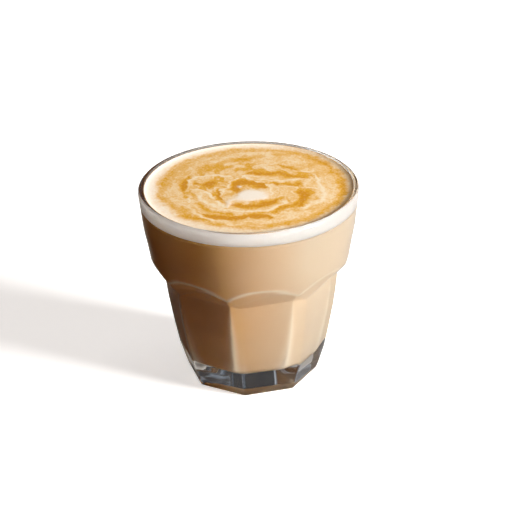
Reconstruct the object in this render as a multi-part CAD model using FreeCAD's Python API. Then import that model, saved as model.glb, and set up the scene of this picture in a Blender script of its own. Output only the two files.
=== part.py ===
import FreeCAD, Part
import os
from math import hypot

# A flat white in its pressed glass tumbler, in millimetres, +Z up, origin at the middle of the
# glass's underside. The front, where one of the glass's ridges almost faces, is -Y.
# The glass is round at the top. Below a shoulder it is cut by facets, whose tops are arches.

# Outside of the glass
height = 77.5
rim_radius = 42.1
band_radius = 36.8            # lower end of the round band
band_height = 45.8            # its height above the table
band_bow = 0.4                # how far the band's side bows out of its straight line
ridge_base_radius = 24.0      # ridges between the facets, at the table
ridge_top_radius = 33.6
ridge_top_height = 41.8
ridge_bow = 0.8
facet_base = 22.2             # from the middle to a facet, at the table
facet_top = 31.2              # the same below the shoulder
facet_bow = 0.9
shoulder_height = 42.3        # where the facets end and the shoulder starts
shoulder_slope = 1.15         # rise of the shoulder for each millimetre outwards
foot_radius = 1.0             # rounding round the underside
front_turn = -7.0             # degrees from -Y to the front ridge

# Inside of the glass
rim_wall = 2.3
rim_rounding = rim_wall * 0.4348  # kept under half the wall
band_wall = 2.7               # at the lower end of the round band
floor_thickness = 10.0
floor_corner = 2.0            # rounding between floor and walls
cavity_base = 21.5            # from the middle to an inner facet, at the floor
cavity_top = 28.6             # the same below the inner shoulder
cavity_bow = 1.0
cavity_shoulder_height = 43.5
cavity_ridge_base = 23.0      # inner ridges, at the floor
cavity_ridge_top = 30.7
cavity_turn = -7.5            # degrees from an outer ridge to the inner ridge beside it

# What it holds
foam_below_rim = 1.3
foam_thickness = 4.5
foam_dome = 0.4               # the middle of the foam stands this much over its edge

sides = 8
axis = FreeCAD.Vector(0, 0, 1)


def at(x, z):
    return FreeCAD.Vector(x, 0, z)


def line(p, q):
    return Part.LineSegment(at(*p), at(*q)).toShape()


def bowed(p, q, bow):
    """Arc from p up to q, whose middle stands out from the straight line by bow."""
    run, rise = q[0] - p[0], q[1] - p[1]
    length = hypot(run, rise)
    middle = ((p[0] + q[0]) / 2 + bow * rise / length, (p[1] + q[1]) / 2 - bow * run / length)
    return Part.Arc(at(*p), at(*middle), at(*q)).toShape()


def corner(x, z, radius):
    """Quarter round that joins a floor at height z to a wall at x."""
    middle = (x - radius * (1 - 0.5 ** 0.5), z + radius * (1 - 0.5 ** 0.5))
    return Part.Arc(at(x - radius, z), at(*middle), at(x, z + radius)).toShape()


def turned(edges):
    """Solid of revolution of edges that run from the axis out, up and back to the axis."""
    top, bottom = edges[-1].Vertexes[-1].Point, edges[0].Vertexes[0].Point
    face = Part.Face(Part.Wire(edges + [line((top.x, top.z), (bottom.x, bottom.z))]))
    return face.revolve(FreeCAD.Vector(), axis, 360)


def prism(low, high, z_low, z_high, bow, radius, turn):
    """Many-sided body from z_low up, whose facets end in a shoulder that leans out past the rim."""
    reach = rim_radius + 5 - high
    past_rim = (high + reach, z_high + reach * shoulder_slope)
    lid = past_rim[1] + height
    half = [
        line((0, z_low), (low - radius, z_low)),
        corner(low, z_low, radius),
        bowed((low, z_low + radius), (high, z_high), bow),
        line((high, z_high), past_rim),
        line(past_rim, (past_rim[0], lid)),
        line((past_rim[0], lid), (0, lid)),
    ]
    other = [edge.mirror(FreeCAD.Vector(), FreeCAD.Vector(1, 0, 0)) for edge in half]
    face = Part.Face(Part.Wire(Part.__sortEdges__(half + other)))
    width = 2 * (rim_radius + 5)
    face.translate(FreeCAD.Vector(0, -width / 2, 0))
    slab = face.extrude(FreeCAD.Vector(0, width, 0))
    # A facet's middle lies half a side away from a ridge, and the ridge starts at -Y.
    first = turn - 90 + 180 / sides
    slabs = []
    for k in range(sides // 2):
        copy = slab.copy()
        copy.rotate(FreeCAD.Vector(), axis, first + k * 360 / sides)
        slabs.append(copy)
    body = slabs[0]
    for copy in slabs[1:]:
        body = body.common(copy)
    return body


def outside():
    """The glass as a full block: round envelope cut by the facets."""
    round_body = turned([
        line((0, 0), (ridge_base_radius - foot_radius, 0)),
        corner(ridge_base_radius, 0, foot_radius),
        bowed((ridge_base_radius, foot_radius), (ridge_top_radius, ridge_top_height), ridge_bow),
        line((ridge_top_radius, ridge_top_height), (band_radius, band_height)),
        bowed((band_radius, band_height), (rim_radius, height), band_bow),
        line((rim_radius, height), (0, height)),
    ])
    facets = prism(facet_base, facet_top, 0, shoulder_height, facet_bow, foot_radius, front_turn)
    return round_body.common(facets)


def cavity():
    """The space inside the glass, from the floor up past the rim."""
    mouth = rim_radius - rim_wall
    round_space = turned([
        line((0, floor_thickness), (cavity_ridge_base - floor_corner, floor_thickness)),
        corner(cavity_ridge_base, floor_thickness, floor_corner),
        bowed((cavity_ridge_base, floor_thickness + floor_corner),
              (cavity_ridge_top, ridge_top_height), cavity_bow),
        line((cavity_ridge_top, ridge_top_height), (band_radius - band_wall, band_height)),
        bowed((band_radius - band_wall, band_height), (mouth, height), band_bow),
        line((mouth, height), (mouth, height + 1)),
        line((mouth, height + 1), (0, height + 1)),
    ])
    facets = prism(cavity_base, cavity_top, floor_thickness, cavity_shoulder_height,
                   cavity_bow, floor_corner, front_turn + cavity_turn)
    return round_space.common(facets)


def tumbler(space):
    """The glass round its cavity, with both edges of the rim rounded."""
    glass = outside().cut(space).removeSplitter()
    rim = [edge for edge in glass.Edges if edge.BoundBox.ZMin > height - 0.01]
    return glass.makeFillet(rim_rounding, rim)


def milk_coffee(space):
    """The drink under the foam: the cavity up to the foam's lower side."""
    size = 4 * rim_radius
    block = Part.makeBox(size, size, milk_top, FreeCAD.Vector(-size / 2, -size / 2, 0))
    return space.common(block)


def foam_layer(space):
    """The cavity from the drink up to a gently domed top."""
    radius = (rim_radius ** 2 + foam_dome ** 2) / (2 * foam_dome)
    half = rim_radius / 2
    fall = radius - (radius ** 2 - half ** 2) ** 0.5
    crown = foam_edge + foam_dome
    layer = turned([
        line((0, milk_top), (rim_radius, milk_top)),
        line((rim_radius, milk_top), (rim_radius, foam_edge)),
        Part.Arc(at(rim_radius, foam_edge), at(half, crown - fall), at(0, crown)).toShape(),
    ])
    return space.common(layer)


foam_edge = height - foam_below_rim
milk_top = foam_edge - foam_thickness
space = cavity()

os.makedirs("parts", exist_ok=True)
pieces = {
    "glass": tumbler(space),
    "coffee": milk_coffee(space),
    "foam": foam_layer(space),
}
for node, solid in pieces.items():
    shape = solid.removeSplitter()
    print(node, len(shape.Solids), "solid,", round(shape.Volume / 1000, 2), "ml,", shape.isValid())
    shape.exportStep("parts/" + node + ".step")
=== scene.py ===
from math import cos, pi, radians, sin

import bpy
import numpy as np
from mathutils import Matrix, Vector


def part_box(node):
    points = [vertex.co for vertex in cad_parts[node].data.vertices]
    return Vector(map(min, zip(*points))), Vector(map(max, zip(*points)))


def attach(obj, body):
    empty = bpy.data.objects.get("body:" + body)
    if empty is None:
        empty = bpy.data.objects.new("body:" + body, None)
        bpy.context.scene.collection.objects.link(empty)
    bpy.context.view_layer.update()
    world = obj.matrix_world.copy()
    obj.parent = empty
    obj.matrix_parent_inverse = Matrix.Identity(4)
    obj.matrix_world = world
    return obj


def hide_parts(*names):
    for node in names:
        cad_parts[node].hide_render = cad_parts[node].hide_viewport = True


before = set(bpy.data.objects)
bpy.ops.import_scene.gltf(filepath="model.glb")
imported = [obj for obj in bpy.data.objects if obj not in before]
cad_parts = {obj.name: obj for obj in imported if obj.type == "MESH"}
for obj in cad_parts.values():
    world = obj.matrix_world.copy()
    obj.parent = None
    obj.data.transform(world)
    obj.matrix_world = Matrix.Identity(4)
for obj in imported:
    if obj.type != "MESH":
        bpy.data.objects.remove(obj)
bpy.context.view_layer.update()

scene = bpy.context.scene
mm = 0.001

# lengths of the glass, the drink and the foam are in millimetres, those of the studio in metres
glass = {
    "around": 440,            # points round every row
    "crowding": 0.8,          # how much closer together they stand at the ridges, below 1
    "sides": 8,
    "sharpness": 150,         # of the ridges, a higher number makes them crisper
    "frontRidge": -7.0,       # degrees from the front to the nearest ridge, outside
    "innerRidge": -14.5,      # the same for the inside
    "turnRows": (52, 72),     # between these heights the outer rows turn from one to the other
    "height": 77.5,
    "floor": 10.0,
    "floorCorner": 2.0,       # rounding between the floor and the inner wall
    "foot": 1.0,              # rounding of the foot
    "hollow": 1.5,            # depth of the hollow underside
    "hollowPower": 6,         # a higher number makes it flatter, with a steeper edge
    "rimRounding": 1.05,
    "rimWall": 2.3,
    # each row: height, distance of the facets, distance of the round envelope
    "outside": [(0, 23.1, 25.1), (3.6, 24.3, 26.4), (10, 26.2, 28.4), (18.5, 27.9, 30.1),
                (29.4, 29.8, 32.2), (36, 30.6, 33.2), (42.0, 31.2, 34.2), (45.8, 34.5, 36.9),
                (50.0, 38.1, 38.1), (56, 46.0, 39.1), (62.5, 52.0, 40.4), (77.5, 66.0, 42.1)],
    "inside": [(8, 20.6, 21.9), (10, 21.6, 23.1), (16, 23.9, 25.9), (27, 26.7, 29.0),
               (36, 28.1, 30.7), (43.0, 28.7, 31.7), (45.8, 31.1, 34.1), (50.8, 35.4, 35.6),
               (56, 41.0, 36.6), (62.5, 47.0, 37.9), (77.5, 62.0, 39.8)],
    "tint": (0.975, 0.988, 0.985, 1),
    "refraction": 1.5,
    "waveScale": 140,         # faint waviness of pressed glass
    "waveStrength": 0.06,
    "waveDepth": 1.0,
    "haze": 0.02,             # greatest roughness
}


def rowAt(table, z):
    # distances of facets and envelope at the heights z, read between the table's rows
    t = np.array(table, float)
    return np.interp(z, t[:, 0], t[:, 1]), np.interp(z, t[:, 0], t[:, 2])


def softPolygon(angle, facet, envelope, ridge):
    # radius = (sum over the facets of (cos(angle - facet angle) / facet)^p + envelope^-p)^(-1/p):
    # the nearest of all the walls, with the edge between two walls rounded by a finite p
    p, n = glass["sharpness"], glass["sides"]
    total = np.power(1 / envelope, p) * np.ones_like(angle)
    for k in range(n):
        lean = np.cos(angle - radians(ridge) - pi / n - 2 * pi * k / n)
        total = total + np.power(np.clip(lean, 0, None) / facet, p)
    return np.power(total, -1 / p)


def crowdedAngles(ridge):
    # angle = u - crowding sin(sides (u - ridge)) / sides: points stand closer together at the ridges
    n = glass["sides"]
    u = np.linspace(0, 2 * pi, glass["around"], endpoint=False) + radians(ridge)
    return u - glass["crowding"] / n * np.sin(n * (u - radians(ridge)))


def wallRows(table, heights, ridge, ridgeTop):
    # rows of points on one side of the wall, with the radius of softPolygon; their first angle
    # moves from ridge to ridgeTop by 3 s^2 - 2 s^3, s going from 0 to 1 between the turnRows
    low, high = glass["turnRows"]
    z = np.asarray(heights, float)[:, None]
    facet, envelope = rowAt(table, z)
    share = np.clip((z - low) / (high - low), 0, 1)
    turned = (ridgeTop - ridge) * share * share * (3 - 2 * share)
    angle = crowdedAngles(ridge)[None] + np.radians(turned)
    radius = softPolygon(angle, facet, envelope, ridge)
    return radius, angle, z * np.ones_like(angle)


def rowHeights(*spans):
    # each span: from, to, how many rows
    return np.concatenate([np.linspace(*span) for span in spans])


def cornerInset(z, low, radius):
    # radius - sqrt(radius^2 - down^2): how far a quarter round stands in from the wall, down being
    # how far z is below the round's upper end
    down = np.clip(radius - (z - low), 0, radius)
    return radius - np.sqrt(radius ** 2 - down ** 2)


def points(radius, angle, z):
    # x = radius sin(angle), y = -radius cos(angle): angle 0 is at the front
    return np.stack([radius * np.sin(angle), -radius * np.cos(angle), z], -1) * mm


def discRows(ring, z, shares):
    # rows at these shares of the way from the middle of a disc, at the height z, to its ring
    middle = np.array([0, 0, z * mm])
    return middle + (ring - middle) * shares[:, None, None]


def closedMesh(name, rows, finish):
    # rows of points from the first pole to the last, joined by four-sided faces
    count = rows.shape[1]
    coords = np.concatenate([rows.reshape(-1, 3), rows[:1].mean(1), rows[-1:].mean(1)])
    first = np.arange(len(rows) - 1)[:, None] * count
    ring = np.arange(count)
    after = (ring + 1) % count
    quads = np.stack([first + ring, first + after, first + count + after, first + count + ring], -1)
    low, high = len(coords) - 2, len(coords) - 1
    last = (len(rows) - 1) * count
    bottom = np.stack([np.full(count, low), after, ring], -1)
    top = np.stack([np.full(count, high), last + ring, last + after], -1)
    faces = quads.reshape(-1, 4).tolist() + bottom.tolist() + top.tolist()
    mesh = bpy.data.meshes.new(name)
    mesh.from_pydata(coords.tolist(), [], faces)
    mesh.polygons.foreach_set("use_smooth", np.ones(len(mesh.polygons), bool))
    mesh.materials.append(finish)
    piece = bpy.data.objects.new(name, mesh)
    scene.collection.objects.link(piece)
    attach(piece, "root")
    return piece


def pointValues(piece, name, values):
    piece.data.attributes.new(name, "FLOAT", "POINT").data.foreach_set("value", values)


def material(name):
    made = bpy.data.materials.new(name)
    made.use_nodes = True
    return made, made.node_tree, made.node_tree.nodes["Principled BSDF"]


def setInputs(tree, node, values):
    # each input gets another node's result or a fixed value
    for name, value in values.items():
        if isinstance(value, bpy.types.NodeSocket):
            tree.links.new(value, node.inputs[name])
        else:
            node.inputs[name].default_value = value


def mathNode(tree, operation, *values, clamp=False):
    node = tree.nodes.new("ShaderNodeMath")
    node.operation = operation
    node.use_clamp = clamp
    setInputs(tree, node, dict(enumerate(values)))
    return node.outputs["Value"]


def mixNode(tree, factor, first, second):
    # the first colour where the factor is 0, the second where it is 1
    node = tree.nodes.new("ShaderNodeMix")
    node.data_type = "RGBA"
    setInputs(tree, node, {"Factor": factor, "A": first, "B": second})
    return node.outputs["Result"]


def rangeNode(tree, value, start, end, low=0, high=1):
    # from low to high while the value goes from start to end
    node = tree.nodes.new("ShaderNodeMapRange")
    setInputs(tree, node, {"Value": value, "From Min": start, "From Max": end,
                           "To Min": low, "To Max": high})
    return node.outputs["Result"]


def rampNode(tree, value, stops):
    # each stop: position, colour
    node = tree.nodes.new("ShaderNodeValToRGB")
    elements = node.color_ramp.elements
    for element, (position, colour) in zip(elements, (stops[0], stops[-1])):
        element.position = position
        element.color = (*colour, 1)
    for position, colour in stops[1:-1]:
        elements.new(position).color = (*colour, 1)
    setInputs(tree, node, {"Fac": value})
    return node.outputs["Color"]


def noiseNode(tree, place, scale, detail, distortion=0):
    node = tree.nodes.new("ShaderNodeTexNoise")
    setInputs(tree, node, {"Vector": place, "Scale": scale, "Detail": detail, "Distortion": distortion})
    return node.outputs["Fac"]


def bumpNode(tree, height, strength, distance):
    node = tree.nodes.new("ShaderNodeBump")
    setInputs(tree, node, {"Height": height, "Strength": strength, "Distance": distance})
    return node.outputs["Normal"]


def attributeNode(tree, name):
    node = tree.nodes.new("ShaderNodeAttribute")
    node.attribute_name = name
    return node.outputs["Fac"]


def placeNode(tree, kind="Object"):
    return tree.nodes.new("ShaderNodeTexCoord").outputs[kind]


def rightNode(tree, place):
    # how far right a place is
    split = tree.nodes.new("ShaderNodeSeparateXYZ")
    setInputs(tree, split, {"Vector": place})
    return split.outputs["X"]


def glassFinish():
    made, tree, shader = material("pressedGlass")
    waves = noiseNode(tree, placeNode(tree), glass["waveScale"], 1)
    setInputs(tree, shader, {
        "Base Color": glass["tint"],
        "Transmission Weight": 1,
        "IOR": glass["refraction"],
        "Roughness": rangeNode(tree, waves, 0, 1, 0, glass["haze"]),
        "Normal": bumpNode(tree, waves, glass["waveStrength"], glass["waveDepth"] * mm),
    })
    return made


def tumbler():
    g = glass
    foot, corner = g["foot"], g["floorCorner"]
    rimStart = g["height"] - g["rimRounding"]
    # rows stand closer together at the arches, between 40 and 52
    footZ = foot - foot * np.cos(np.linspace(0, pi / 2, 6)[:-1])
    wallZ = rowHeights((foot, 40, 36), (40.4, 52, 40), (53, rimStart, 10))
    radius, angle, z = wallRows(g["outside"], np.concatenate([footZ, wallZ]),
                                g["frontRidge"], g["innerRidge"])
    radius = radius - cornerInset(z, 0, foot)
    outside = points(radius, angle, z)
    # hollow underside: height = hollow (1 - share^hollowPower), share being the way from the middle out
    share = np.linspace(0.06, 1, 18)[:-1, None, None]
    rise = np.array([0, 0, g["hollow"] * mm]) * (1 - share ** g["hollowPower"])
    underside = outside[:1] * share + rise
    # rim: half an ellipse as wide as the wall and as high as the rounding
    lipAngle = np.linspace(0, pi, 13)[1:-1, None]
    half = g["rimWall"] / 2
    lipRadius = radius[-1:] - half + half * np.cos(lipAngle)
    lipZ = rimStart + g["rimRounding"] * np.sin(lipAngle)
    lip = points(lipRadius, angle[-1:], lipZ * np.ones_like(angle[-1:]))
    wallZ = rowHeights((rimStart, 53, 10), (52, 41, 36), (40.4, g["floor"] + corner, 32))
    cornerZ = g["floor"] + corner - corner * np.sin(np.linspace(0.12, pi / 2, 9))
    radius, angle, z = wallRows(g["inside"], np.concatenate([wallZ, cornerZ]),
                                g["innerRidge"], g["innerRidge"])
    inside = points(radius - cornerInset(z, g["floor"], corner), angle, z)
    floor = discRows(inside[-1:], g["floor"], np.linspace(0.85, 0.12, 6))
    rows = np.concatenate([underside, outside, lip, inside, floor])
    piece = closedMesh("glassBody", rows, glassFinish())
    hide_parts("glass")
    print("glass made")


drink = {
    "intoWall": 0.15,         # reaches this far into the glass, so that no air shows between them
    "foamLow": 71.5,          # where the foam begins
    # painted shade and light: the coffee's deeper, more saturated colour where it is shaded on the left,
    # and its paler colour where it is lit on the right
    "shadedCoffee": (0.74, 0.40, 0.115, 1),
    "litCoffee": (0.82, 0.69, 0.52, 1),
    "turn": (-12, 28),        # painted light and shade: from the shaded colour to the lit one between these places, left to right, as the light falls from the right
    "cloudScale": 35,         # noise that makes the painted turn from shade to light uneven
    "cloudDrift": 12,         # how far clouds shift the turn
    "roughness": 0.5,
    "gleam": (0.98, 0.88, 0.72, 1),               # where the edges of the glass gather light
    "gleamShare": 0.92,
    "gleamWidth": 0.42,       # at the arches
    "gleamWider": (44, 14, 0.36),                 # heights from and to which it widens, and how much
}


def coffeeFinish():
    made, tree, shader = material("milkCoffee")
    place = placeNode(tree)
    # painted light and shade: the colour turns from the shaded one on the left to the lit one on the right,
    # shifted by clouds
    cloud = noiseNode(tree, place, drink["cloudScale"], 2)
    drift = mathNode(tree, "MULTIPLY_ADD", cloud, drink["cloudDrift"] * mm, rightNode(tree, place))
    start, end = drink["turn"]
    litAndShaded = mixNode(tree, rangeNode(tree, drift, start * mm, end * mm), drink["shadedCoffee"], drink["litCoffee"])
    setInputs(tree, shader, {
        "Base Color": mixNode(tree, attributeNode(tree, "gleam"), litAndShaded, drink["gleam"]),
        "Roughness": drink["roughness"],
        "Specular IOR Level": 0,
    })
    return made


def coffeeBody():
    g, into, corner = glass, drink["intoWall"], glass["floorCorner"]
    cornerZ = g["floor"] + corner - corner * np.cos(np.linspace(0, pi / 2, 9)[:-1])
    wallZ = rowHeights((g["floor"] + corner, 40.4, 40), (41, 52, 40), (53, drink["foamLow"], 14))
    radius, angle, z = wallRows(g["inside"], np.concatenate([cornerZ, wallZ]),
                                g["innerRidge"], g["innerRidge"])
    side = points(radius - cornerInset(z, g["floor"], corner) + into, angle, z)
    side[0, :, 2] -= into * mm
    floor = discRows(side[:1], g["floor"] - into, np.linspace(0.12, 0.85, 6))
    top = discRows(side[-1:], drink["foamLow"], np.linspace(0.9, 0.1, 6))
    piece = closedMesh("coffeeBody", np.concatenate([floor, side, top]), coffeeFinish())
    # lines of light along ridges and arches: exp(-((facet radius - round radius) / width)^2)
    facet, envelope = rowAt(g["inside"], z)
    lean = (angle - radians(g["innerRidge"])) % (2 * pi / g["sides"]) - pi / g["sides"]
    high, low, wider = drink["gleamWider"]
    width = drink["gleamWidth"] + wider * np.clip((high - z) / (high - low), 0, 1)
    apart = (facet / np.cos(lean) - envelope) / width
    gleam = np.zeros(len(piece.data.vertices))
    before = len(floor) * angle.shape[1]
    gleam[before:before + apart.size] = drink["gleamShare"] * np.exp(-apart ** 2).ravel()
    pointValues(piece, "gleam", gleam)
    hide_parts("coffee")
    print("coffee made")


foam = {
    "around": 640,            # points round every row
    "rings": 122,
    "sideRows": 24,
    "edge": 76.5,             # height of the foam beside the glass, before it creeps up the wall
    "dome": 0.4,              # how much higher the middle is
    "creep": 0.6,             # how far it creeps up the glass
    "creepWidth": 1.1,
    "darkTop": 0.45,            # the side takes the darkest crema colour from this far below the edge to its top
    "relief": (0.05, 0.08),   # how much higher pale crema and milk foam stand
    "cremaRadius": 37.0,      # the crema's disc, which floats a little off centre
    "cremaMiddle": (1.3, 0.6),
    "tone": 0.69,             # of the crema, from 0 for the darkest to 1 for the palest
    "outward": 0.03,          # how much it darkens in the middle and pales beyond outwardAt
    "outwardAt": 0.68,        # share of the crema's radius, as in the next ones that end in At
    "outwardSharpness": 9,
    "clouds": 0.07,           # unevenness of the tone, and its size
    "cloudSize": 4,
    "wander": 1.5,            # unevenness of the whole pattern
    "wanderSizes": (6, 1.8),
    "wanderFine": 0.45,       # strength of the finer one
    "twist": 0.02,            # turn of the swirls, radians for each millimetre outwards
    "calmAt": 0.72,           # beyond this, flecks and wisps fade to calmRest
    "calmSharpness": 22,
    "calmRest": 0.35,
    "flecks": 0.28,           # strength of the small dark patches
    "fleckSize": 3.2,
    "fleckStart": 0.08,
    "fleckSharpness": 4,
    "wisps": 0.14,            # strength of the thin pale lines
    "wispSize": 4.5,
    "wispWidth": 0.07,
    # darker ring near the edge; the second strength is what it has more towards ringTurn, in
    # radians from the right to the front
    "ringAt": 0.93,
    "ringWidth": 0.045,
    "ringStrength": (0.28, 0.08),
    "ringTurn": 0.45,
    # plain milk foam at the glass, in the same way, so there is least of it at the right
    "rimAt": 0.985,
    "rimSharpness": (48, -14),
    "rimStrength": (0.6, -0.4),
    "rimTurn": 0.5,
    # milk poured last: middle, half sizes, turn in degrees
    "blob": (0.9, -7.0, 6.2, 4.6, 12),
    "blobSharpness": 9,
    "tail": ([(-3, -8.5), (-6.2, -12), (-7.8, -16.5)], 1.7, 0.7),     # a stroke, as further down
    "dot": (-3.3, 0.7, 0.7),  # middle, and half width squared
    "gold": 1.5,              # strength of all darker strokes
    "milk": 0.9,              # strength of all paler strokes
    # strokes of paler milk: points they pass, half width and strength
    "milkStrokes": [
        ([(-22.5, -11.5), (-24, -4), (-23, 4), (-22, 9), (-18.5, 12), (-14, 12.5), (-8, 11)], 0.75, 0.34),
        ([(-21.5, 0.5), (-16.5, -2), (-14, -7), (-12.5, -12), (-8, -18)], 0.8, 0.3),
        ([(-9.5, -10.5), (-10, -4), (-8.5, 1.5), (-5.5, 6.5), (-1.5, 9), (2, 6.5), (5.5, 3), (8, -2),
          (8.5, -7)], 0.55, 0.36),
        ([(-5.5, 6.5), (-2.5, 9.5), (5.5, 9)], 0.5, 0.2),
        ([(3.5, 6.5), (8.5, 6), (15.5, 5.5), (20.5, 6)], 0.5, 0.3),
        ([(12, 1.5), (17, 0), (22, -0.5), (26, -2)], 1.0, 0.3),
        ([(19, 15.5), (24, 11.5), (27, 4), (28.5, -4), (28, -9.5), (25.5, -14), (20.5, -18),
          (14, -20.5)], 0.95, 0.3),
        ([(14, -9.5), (13.5, -14.5), (9.5, -18), (3.5, -20.5), (-2.5, -20.5), (-9, -19)], 0.7, 0.34),
        ([(-25, -14), (-21, -20.5), (-16, -26), (-8, -28.5)], 0.7, 0.26),
        ([(-8, -31), (-1.5, -33), (5.5, -34)], 1.2, 0.2),
        ([(-18, -3), (-18.5, -9), (-15, -14), (-10.5, -17.5)], 0.6, 0.22),
        ([(-12, 3), (-11.5, -3), (-13, -8)], 0.5, 0.2),
        ([(16, -3.5), (19, -7), (22.5, -8)], 0.6, 0.22),
    ],
    # strokes of darker crema, in the same way
    "goldStrokes": [
        ([(1, 12), (8.5, 12), (17, 9.5), (20.5, 7.5)], 2.1, 0.36),
        ([(9.5, 3), (15.5, 1.5), (20, 3)], 1.5, 0.34),
        ([(13, 19.5), (16.5, 17), (20, 15)], 1.1, 0.3),
        ([(-23, 12), (-24.5, 4), (-24, -7)], 1.4, 0.3),
        ([(-20, 5), (-15, 3.5), (-13.5, 0)], 1.7, 0.3),
        ([(-5.5, -2), (-4, 4), (1, 4.5), (5.5, 0.5)], 2.5, 0.46),
        ([(-5.5, -15.5), (0.5, -15.5), (7, -14), (11, -11.5)], 2.2, 0.42),
        ([(19, -4), (20.5, -9), (19, -14), (14, -18), (8.5, -22.5)], 2.4, 0.34),
        ([(-17.5, -22.5), (-12.5, -25), (-5.5, -26), (2, -25), (8.5, -26.5)], 1.9, 0.46),
        ([(-11, -2), (-11, -7), (-10, -10.5)], 1.2, 0.36),
        ([(-20, -13), (-17, -17.5), (-13, -20.5), (-7, -22.5)], 1.6, 0.26),
        ([(-7.5, 27), (0.5, 26)], 1.4, 0.16),
        ([(8, 29.5), (17, 29)], 1.5, 0.16),
        ([(-26, -16), (-22, -23), (-15, -28.5)], 1.2, 0.16),
        ([(-16.5, 18.5), (-15, 21)], 1.0, 0.16),
    ],
    # crema colours from dark to pale, each with the tone at which it stands
    "crema": [(0.12, (0.62, 0.268, 0.006)), (0.36, (0.72, 0.37, 0.024)), (0.58, (0.80, 0.49, 0.165)),
              (0.75, (0.87, 0.635, 0.345)), (0.95, (0.92, 0.77, 0.54))],
    "cream": (0.93, 0.86, 0.755),                 # milk foam on top
    "white": (0.93, 0.925, 0.93),                 # milk foam against the glass
    "grain": (1300, 3, 0.46),                     # scale, detail and strength
    "streaks": (330, 4, 0.5),                     # the same for fine wisps between the strokes
    "streakBend": 1.2,
    "fray": 1.2,              # how much the grain frays the milk's edges
    "bubbles": (1500, 0.1, 0.3),                  # scale, strength and depth
    "roughness": 0.55,
    "shine": 0.3,
    "softRadius": (1, 0.95, 0.9),                 # light spreads inside the foam's side and underside
    "softScale": 5,
    "glow": 0.16,             # what the side gives off, for the light that spreads through the foam
    "glowTint": (1, 0.97, 0.93, 1),
}


def cloudNoise(u, v, wrap, seed):
    # random values from -1 to 1 at whole u and v, blended by 3 f^2 - 2 f^3 between them, repeating
    # after wrap in v
    cells = 256
    grid = np.random.default_rng(seed).uniform(-1, 1, (cells, wrap))
    i, j = np.floor(u).astype(int), np.floor(v).astype(int)
    fu, fv = u - i, v - j
    fu, fv = fu * fu * (3 - 2 * fu), fv * fv * (3 - 2 * fv)
    near = grid[i % cells, j % wrap] * (1 - fv) + grid[i % cells, (j + 1) % wrap] * fv
    far = grid[(i + 1) % cells, j % wrap] * (1 - fv) + grid[(i + 1) % cells, (j + 1) % wrap] * fv
    return near * (1 - fu) + far * fu


def threeLayers(u, v, wrap, seed):
    # cloudNoise in three layers, each half the size and strength of the one before; the sum is
    # divided by 1.4, so that it mostly stays between -1 and 1
    return sum(cloudNoise(u(k), v(k), wrap(k), seed + k) / k for k in (1, 2, 4)) / 1.4


def smoothNoise(x, y, size, seed):
    # layered noise with cells size millimetres wide
    middle = 97               # the cell of the grid that lies in the middle of the foam
    return threeLayers(lambda k: x * k / size + middle, lambda k: y * k / size + middle,
                       lambda k: 256, seed)


def marbling(radius, angle, size, seed):
    # layered noise in rings: cells size millimetres across and, 20 millimetres out, twice as long
    around = round(2 * pi * 20 / (2 * size))
    turn = angle / (2 * pi) + 0.5
    return threeLayers(lambda k: radius * k / size, lambda k: turn * around * k,
                       lambda k: around * k, seed)


def nearStroke(x, y, knots, width):
    # exp(-(distance to the curve / width)^2); the curve bends smoothly through the knots, and its
    # width goes by 0.45 + 0.55 sin(pi s), so that it thins out towards both ends
    p = np.array(knots, float)
    fine = np.linspace(0, len(p) - 1, 8 * len(p))
    slope = np.gradient(p, axis=0)
    i = np.minimum(fine.astype(int), len(p) - 2)
    f = (fine - i)[:, None]
    curve = ((2 * f ** 3 - 3 * f ** 2 + 1) * p[i] + (f ** 3 - 2 * f ** 2 + f) * slope[i]
             + (3 * f ** 2 - 2 * f ** 3) * p[i + 1] + (f ** 3 - f ** 2) * slope[i + 1])
    nearest = np.zeros_like(x)
    for k, (start, end) in enumerate(zip(curve[:-1], curve[1:])):
        step = end - start
        along = ((x - start[0]) * step[0] + (y - start[1]) * step[1]) / np.sum(step ** 2)
        along = np.clip(along, 0, 1)
        far = np.hypot(x - start[0] - along * step[0], y - start[1] - along * step[1])
        here = width * (0.45 + 0.55 * sin(pi * (k + 0.5) / (len(curve) - 1)))
        nearest = np.maximum(nearest, np.exp(-(far / here) ** 2))
    return nearest


def softStep(t):
    # 1 / (1 + exp(-t)): from 0 to 1
    return 1 / (1 + np.exp(-t))


def lopsided(pair, angle):
    # first + second cos(angle)
    return pair[0] + pair[1] * np.cos(angle)


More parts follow.
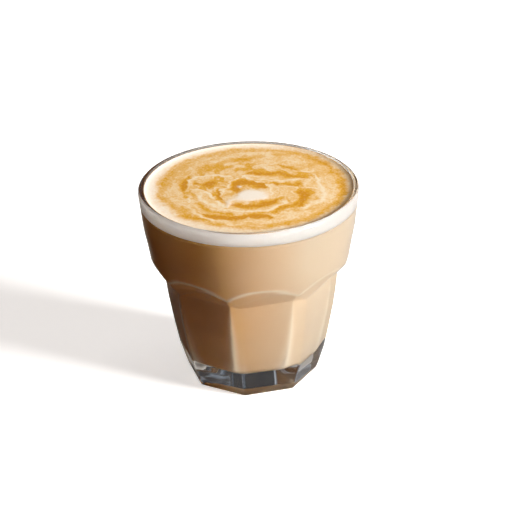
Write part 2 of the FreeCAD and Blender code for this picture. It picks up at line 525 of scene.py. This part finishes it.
def cremaTones(x, y):
    # tone, from 0 for the darkest crema to 1 for the palest, and the share of milk foam; the last
    # number of each noise is its seed
    f = foam
    coarse, fine = f["wanderSizes"]
    wx = x + f["wander"] * (smoothNoise(x, y, coarse, 1) + f["wanderFine"] * smoothNoise(x, y, fine, 11))
    wy = y + f["wander"] * (smoothNoise(x, y, coarse, 21) + f["wanderFine"] * smoothNoise(x, y, fine, 31))
    out = np.hypot(wx - f["cremaMiddle"][0], wy - f["cremaMiddle"][1]) / f["cremaRadius"]
    angle = np.arctan2(y, x)
    # tone + outward tanh(sharpness (out - outwardAt)) + clouds
    tone = f["tone"] + f["outward"] * np.tanh((out - f["outwardAt"]) * f["outwardSharpness"])
    tone = tone + f["clouds"] * smoothNoise(x, y, f["cloudSize"], 61)
    # flecks where the marbling is above a level, wisps where it passes through zero
    swirl = np.hypot(wx, wy)
    swirlAngle = np.arctan2(wy, wx) + f["twist"] * swirl
    flecks = marbling(swirl, swirlAngle, f["fleckSize"], 41) - f["fleckStart"]
    flecks = np.clip(flecks * f["fleckSharpness"], 0, 1)
    wisps = np.exp(-(marbling(swirl, swirlAngle, f["wispSize"], 51) / f["wispWidth"]) ** 2)
    centre = softStep((f["calmAt"] - out) * f["calmSharpness"])
    centre = f["calmRest"] + (1 - f["calmRest"]) * centre
    tone = tone + centre * (f["wisps"] * wisps - f["flecks"] * flecks)
    ring = lopsided(f["ringStrength"], angle + f["ringTurn"])
    tone = tone - ring * np.exp(-((out - f["ringAt"]) / f["ringWidth"]) ** 2)
    for knots, width, strength in f["goldStrokes"]:
        tone = tone - f["gold"] * strength * nearStroke(wx, wy, knots, width)
    for knots, width, strength in f["milkStrokes"]:
        tone = tone + f["milk"] * strength * nearStroke(wx, wy, knots, width)
    # the blob is an ellipse with a soft edge: softStep(sharpness (1 - distance / half size))
    bx, by, a, b, turn = f["blob"]
    c, s = cos(radians(turn)), sin(radians(turn))
    u = ((wx - bx) * c + (wy - by) * s) / a
    v = ((wy - by) * c - (wx - bx) * s) / b
    blob = softStep((1 - np.hypot(u, v)) * f["blobSharpness"])
    knots, width, strength = f["tail"]
    tail = nearStroke(wx, wy, knots, width) * strength
    dx, dy, area = f["dot"]
    dot = np.exp(-((x - dx) ** 2 + (y - dy) ** 2) / area)
    rim = softStep((out - f["rimAt"]) * lopsided(f["rimSharpness"], angle))
    rim = rim * lopsided(f["rimStrength"], angle + f["rimTurn"])
    pale = np.maximum(np.maximum(blob, tail), np.maximum(dot, rim))
    return np.clip(tone, 0, 1), np.clip(pale, 0, 1)


def foamFinish():
    made, tree, shader = material("milkFoam")
    place = placeNode(tree)
    tone, pale = attributeNode(tree, "tone"), attributeNode(tree, "pale")
    # grain and streaks lighten and darken the tone by up to half their strength
    scale, detail, strength = foam["grain"]
    grain = noiseNode(tree, place, scale, detail)
    grain = mathNode(tree, "MULTIPLY_ADD", grain, strength, -strength / 2)
    scale, detail, strength = foam["streaks"]
    streaks = noiseNode(tree, place, scale, detail, foam["streakBend"])
    streaks = mathNode(tree, "MULTIPLY_ADD", streaks, strength, -strength / 2)
    tone = mathNode(tree, "ADD", mathNode(tree, "ADD", grain, streaks), tone)
    # pale is 2 where the foam stands against the glass and at most 1 on top
    milk = rampNode(tree, mathNode(tree, "MULTIPLY", pale, 0.5),
                    [(0.5, foam["cream"]), (0.75, foam["white"])])
    frayed = mathNode(tree, "MULTIPLY_ADD", grain, foam["fray"], pale, clamp=True)
    side = mathNode(tree, "GREATER_THAN", pale, 1.5)
    scale, strength, depth = foam["bubbles"]
    bubbles = tree.nodes.new("ShaderNodeTexVoronoi")
    setInputs(tree, bubbles, {"Vector": place, "Scale": scale})
    setInputs(tree, shader, {
        "Base Color": mixNode(tree, frayed, rampNode(tree, tone, foam["crema"]), milk),
        "Roughness": foam["roughness"],
        "Specular IOR Level": foam["shine"],
        "Normal": bumpNode(tree, bubbles.outputs["Distance"], strength, depth * mm),
        "Subsurface Weight": side,
        "Subsurface Radius": foam["softRadius"],
        "Subsurface Scale": foam["softScale"] * mm,
        "Emission Color": foam["glowTint"],
        "Emission Strength": mathNode(tree, "MULTIPLY", side, foam["glow"]),
    })
    return made


def foamLayer():
    f, into, low, edge = foam, drink["intoWall"], drink["foamLow"], foam["edge"]
    angle = np.linspace(0, 2 * pi, f["around"], endpoint=False)[None]
    z = np.linspace(low, edge + f["creep"], f["sideRows"])[:, None] * np.ones_like(angle)
    side = points(rowAt(glass["inside"], z)[1] + into, angle, z)
    under = discRows(side[:1], low, np.linspace(0.1, 0.9, 5))
    # height = edge + dome (1 - share^2) + creep exp((radius - reach) / creepWidth) + relief
    share = np.linspace(1, 0, f["rings"])[1:-1, None]
    reach = np.hypot(side[-1, 0, 0], side[-1, 0, 1]) / mm
    radius = reach * share * np.ones_like(angle)
    tone, pale = cremaTones(radius * np.sin(angle), -radius * np.cos(angle))
    topZ = edge + f["dome"] * (1 - share ** 2) + f["creep"] * np.exp((radius - reach) / f["creepWidth"])
    topZ = topZ + f["relief"][0] * tone + f["relief"][1] * pale
    top = points(radius, angle, topZ)
    piece = closedMesh("foamLayer", np.concatenate([under, side, top]), foamFinish())
    before = (len(under) + len(side)) * f["around"]
    darkTopPoints = int(np.sum(z[:, 0] > edge - f["darkTop"])) * f["around"]
    # off the top, tone is 0.9 and pale is 2, which tells foamFinish where the side is
    for name, values, plain in (("tone", tone, 0.9), ("pale", pale, 2.0)):
        every = np.full(len(piece.data.vertices), plain)
        every[before - darkTopPoints:before] = 0            # the darkest crema colour at the top of the side
        every[before:before + values.size] = values.ravel()
        every[-1] = values[-1].mean()
        pointValues(piece, name, every)
    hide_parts("foam")
    print("foam made")


studio = {
    "roomLight": 0.1,         # what the room gives to the object, and its tint
    "roomTint": (1, 0.56, 0.28, 1),
    # the room that the glass shows: dim and blue-grey with soft pale patches, darker to the right
    "room": [(0.44, (0.03, 0.032, 0.036)), (0.52, (0.13, 0.16, 0.2)), (0.66, (0.46, 0.48, 0.51))],
    "roomPatches": 6.3,       # a higher number makes them smaller
    "roomShift": -0.12,
    "floorSize": 6,
    "floorGrey": (0.22, 0.14, 0.08, 1),           # what the floor gives back to the object
    "floorWhite": (0.9, 0.9, 0.9, 1),             # what is seen of it
    "floorRoughness": 0.9,
    "floorGlow": 0.6,         # brightens what is seen of it, so that the shadow stays light
    # what reflections and the view through glass show of it, from left to right, and where it turns
    "floorDim": (0.10, 0.08, 0.06, 1),
    "floorMirrored": (0.85, 0.84, 0.83, 1),
    "floorTurn": (-0.1, 0.16),
    # each lamp: azimuth, height angle, distance, size, watts, colour
    "key": (65, 17, 3.0, 0.8, 262, (1, 0.985, 0.96)),
    "overhead": (160, 80, 3.0, 1.5, 13, (1, 0.99, 0.97)),
    "lampAim": (0, 0, 0.04),
}


def seenRay(tree):
    # 1 for what is seen directly, in a reflection or through glass, and 0 for light that
    # has already left a matt surface; then 1 for what is seen directly
    path = tree.nodes.new("ShaderNodeLightPath")
    sharp = mathNode(tree, "MAXIMUM", path.outputs["Is Glossy Ray"], path.outputs["Is Transmission Ray"])
    sharp = mathNode(tree, "MAXIMUM", sharp, path.outputs["Is Camera Ray"])
    fresh = mathNode(tree, "LESS_THAN", path.outputs["Diffuse Depth"], 0.5)
    return mathNode(tree, "MULTIPLY", sharp, fresh), path.outputs["Is Camera Ray"]


def room():
    world = bpy.data.worlds.new("studio")
    scene.world = world
    world.use_nodes = True
    tree = world.node_tree
    seen, direct = seenRay(tree)
    place = placeNode(tree, "Generated")
    patches = noiseNode(tree, place, studio["roomPatches"], 2)
    shift = mathNode(tree, "MULTIPLY_ADD", rightNode(tree, place), studio["roomShift"], patches)
    shown = mixNode(tree, direct, rampNode(tree, shift, studio["room"]), (1, 1, 1, 1))
    setInputs(tree, tree.nodes["Background"], {
        "Color": mixNode(tree, seen, studio["roomTint"], shown),
        "Strength": rangeNode(tree, seen, 0, 1, studio["roomLight"], 1),
    })
    print("room made")


def floor():
    far = studio["floorSize"] / 2
    mesh = bpy.data.meshes.new("floor")
    mesh.from_pydata([(-far, -far, 0), (far, -far, 0), (far, far, 0), (-far, far, 0)], [], [(0, 1, 2, 3)])
    plane = bpy.data.objects.new("floor", mesh)
    scene.collection.objects.link(plane)
    made, tree, shader = material("paleFloor")
    seen, direct = seenRay(tree)
    across = rangeNode(tree, rightNode(tree, placeNode(tree)), *studio["floorTurn"])
    mirrored = mixNode(tree, across, studio["floorDim"], studio["floorMirrored"])
    shown = mixNode(tree, seen, studio["floorGrey"], mirrored)
    both = mathNode(tree, "MULTIPLY", seen, direct)
    setInputs(tree, shader, {
        "Base Color": mixNode(tree, both, shown, studio["floorWhite"]),
        "Emission Strength": mathNode(tree, "MULTIPLY", both, studio["floorGlow"]),
        "Emission Color": (1, 1, 1, 1),
        "Roughness": studio["floorRoughness"],
    })
    mesh.materials.append(made)
    print("floor made")


def areaLamp(name, azimuth, lift, distance, size, watts, colour):
    lamp = bpy.data.lights.new(name, "AREA")
    lamp.size = size
    lamp.energy = watts
    lamp.color = colour
    holder = bpy.data.objects.new(name, lamp)
    a, e = radians(azimuth), radians(lift)
    aim = Vector(studio["lampAim"])
    holder.location = aim + distance * Vector((cos(e) * sin(a), -cos(e) * cos(a), sin(e)))
    holder.rotation_euler = (aim - holder.location).to_track_quat("-Z", "Y").to_euler()
    scene.collection.objects.link(holder)
    print(name, "lamp placed")


shot = {
    "focalLength": 210.7,
    "sensor": 36,
    "farEnd": 20,             # nothing beyond this is drawn
    "pitch": 26.56,           # degrees that the camera looks down
    "roll": -1.24,
    "distance": 1.15,
    "aim": (0.0023, 0, 0.0477),                   # from the middle of the foot
}


def camera():
    low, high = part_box("glass")
    lens = bpy.data.cameras.new("camera")
    lens.lens = shot["focalLength"]
    lens.sensor_width = shot["sensor"]
    lens.clip_end = shot["farEnd"]
    holder = bpy.data.objects.new("camera", lens)
    scene.collection.objects.link(holder)
    pitch = radians(shot["pitch"])
    middle = Vector(((low[0] + high[0]) / 2, (low[1] + high[1]) / 2, low[2]))
    holder.location = middle + Vector(shot["aim"]) + shot["distance"] * Vector((0, -cos(pitch), sin(pitch)))
    turn = Matrix.Rotation(pi / 2 - pitch, 3, "X") @ Matrix.Rotation(radians(shot["roll"]), 3, "Z")
    holder.rotation_euler = turn.to_euler()
    scene.camera = holder
    scene.view_settings.view_transform = "Standard"
    print("camera placed")


tumbler()
coffeeBody()
foamLayer()
room()
floor()
areaLamp("key", *studio["key"])
areaLamp("overhead", *studio["overhead"])
camera()
